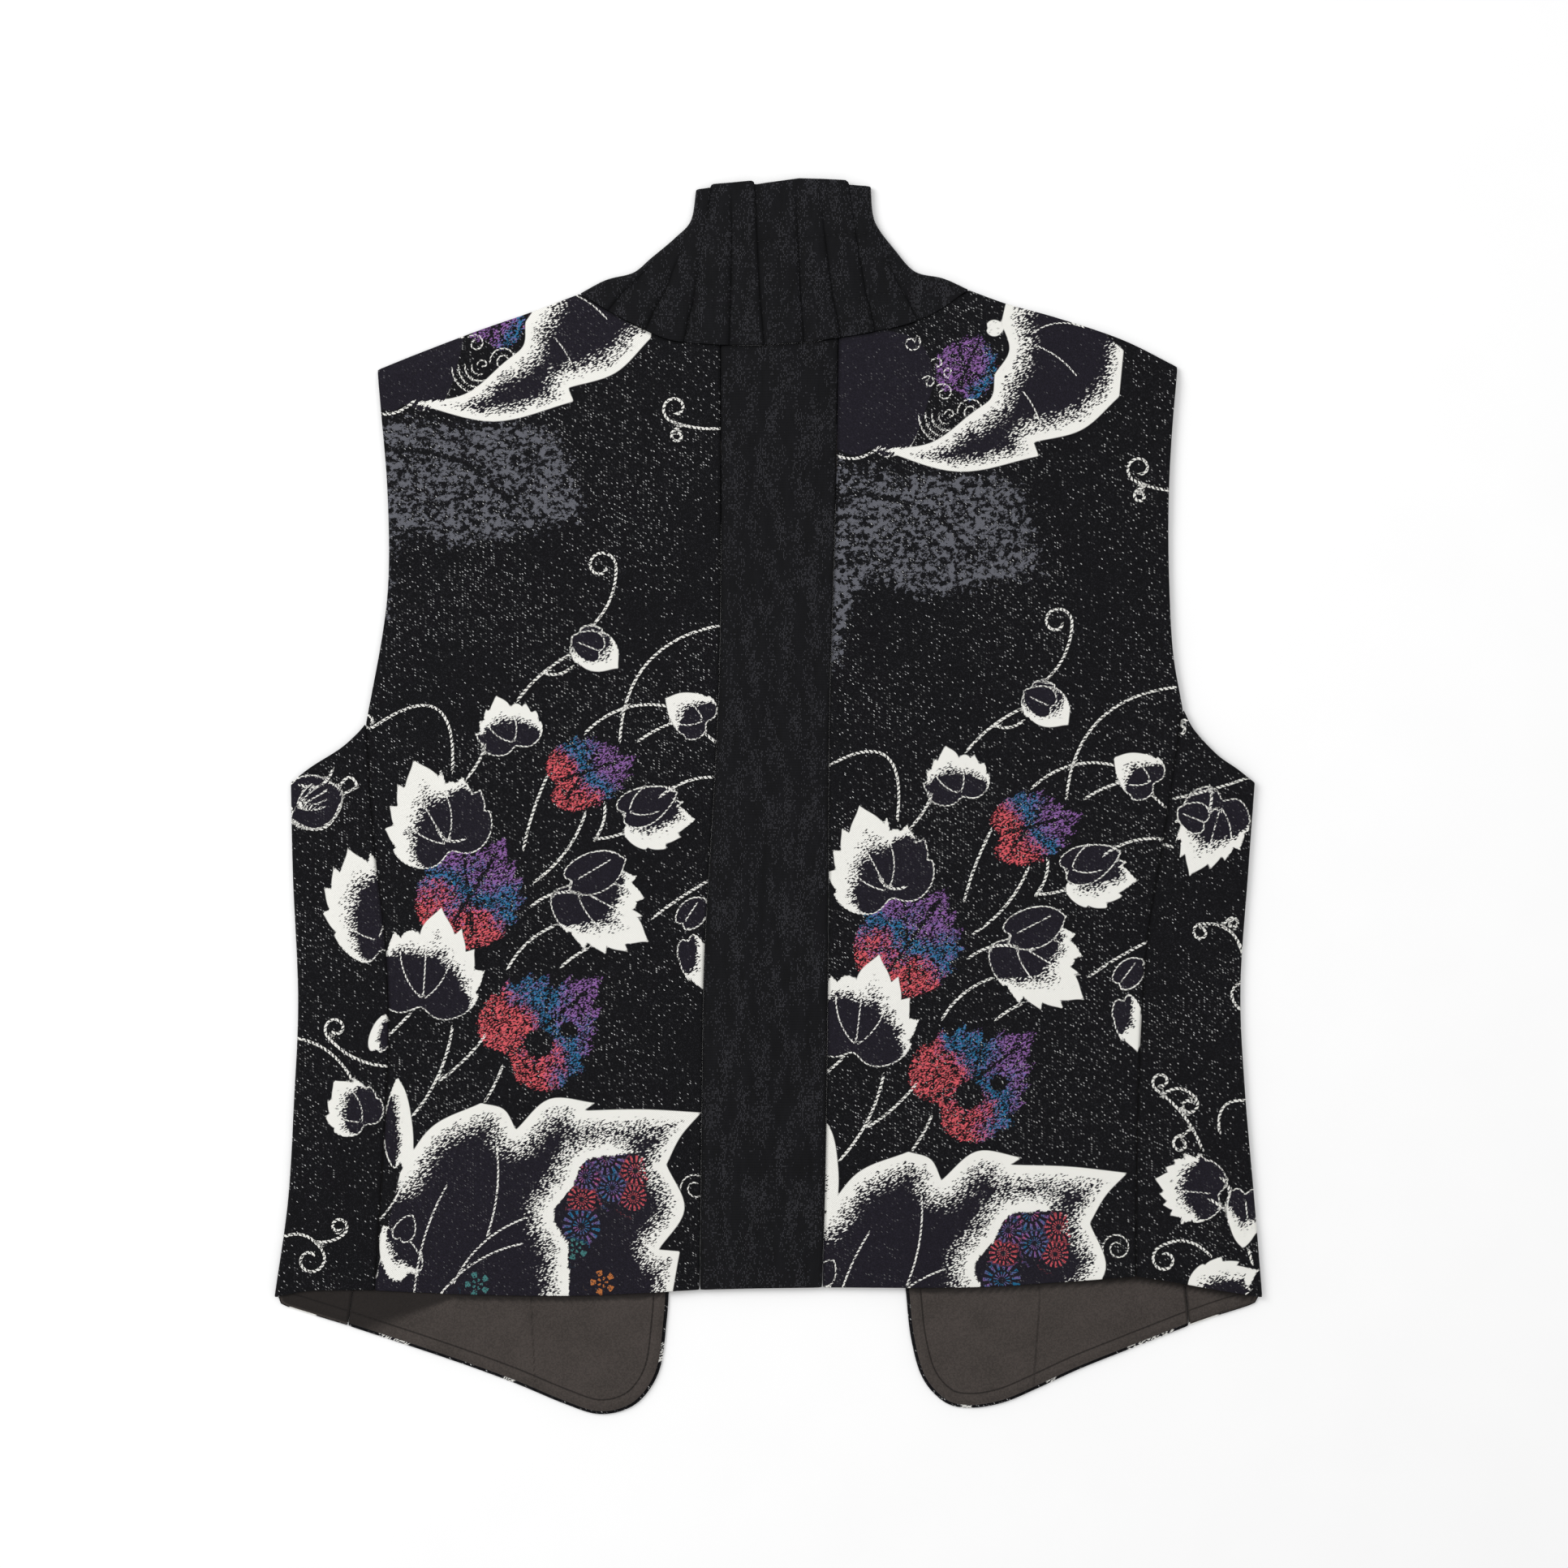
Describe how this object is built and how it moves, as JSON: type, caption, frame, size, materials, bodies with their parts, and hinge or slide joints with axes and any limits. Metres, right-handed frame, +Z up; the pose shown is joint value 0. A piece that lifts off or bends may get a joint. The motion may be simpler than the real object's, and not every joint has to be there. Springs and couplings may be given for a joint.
{
  "type": "waistcoat",
  "caption": "Sleeveless waistcoat with a pleated stand collar, laid flat on its fronts with the back up, plain centre strip and long pointed front hems.",
  "frame": {"origin": "on the floor under the middle of the garment's outline, between the side edges and between the collar's top and the front points", "axes": "+X across the garment towards the wearer's right side, +Y from the hem towards the collar, +Z up from the floor towards the back of the garment"},
  "size_m": [0.513, 0.6415, 0.0063],
  "materials": {
    "patterned_cloth": "woven cloth, black with large pale leaves, matt",
    "plain_cloth": "plain black silk-like cloth with a low sheen",
    "lining_cloth": "taupe brown lining, plain weave, matt"
  },
  "bodies": {
    "root": {"back_left": "patterned_cloth", "back_centre": "plain_cloth", "back_right": "patterned_cloth", "side_left": "patterned_cloth", "side_right": "patterned_cloth", "front_left": "patterned_cloth", "front_right": "patterned_cloth", "front_left_lining": "lining_cloth", "front_right_lining": "lining_cloth", "side_left_lining": "lining_cloth", "side_right_lining": "lining_cloth", "collar": "plain_cloth"}
  },
  "joints": []
}
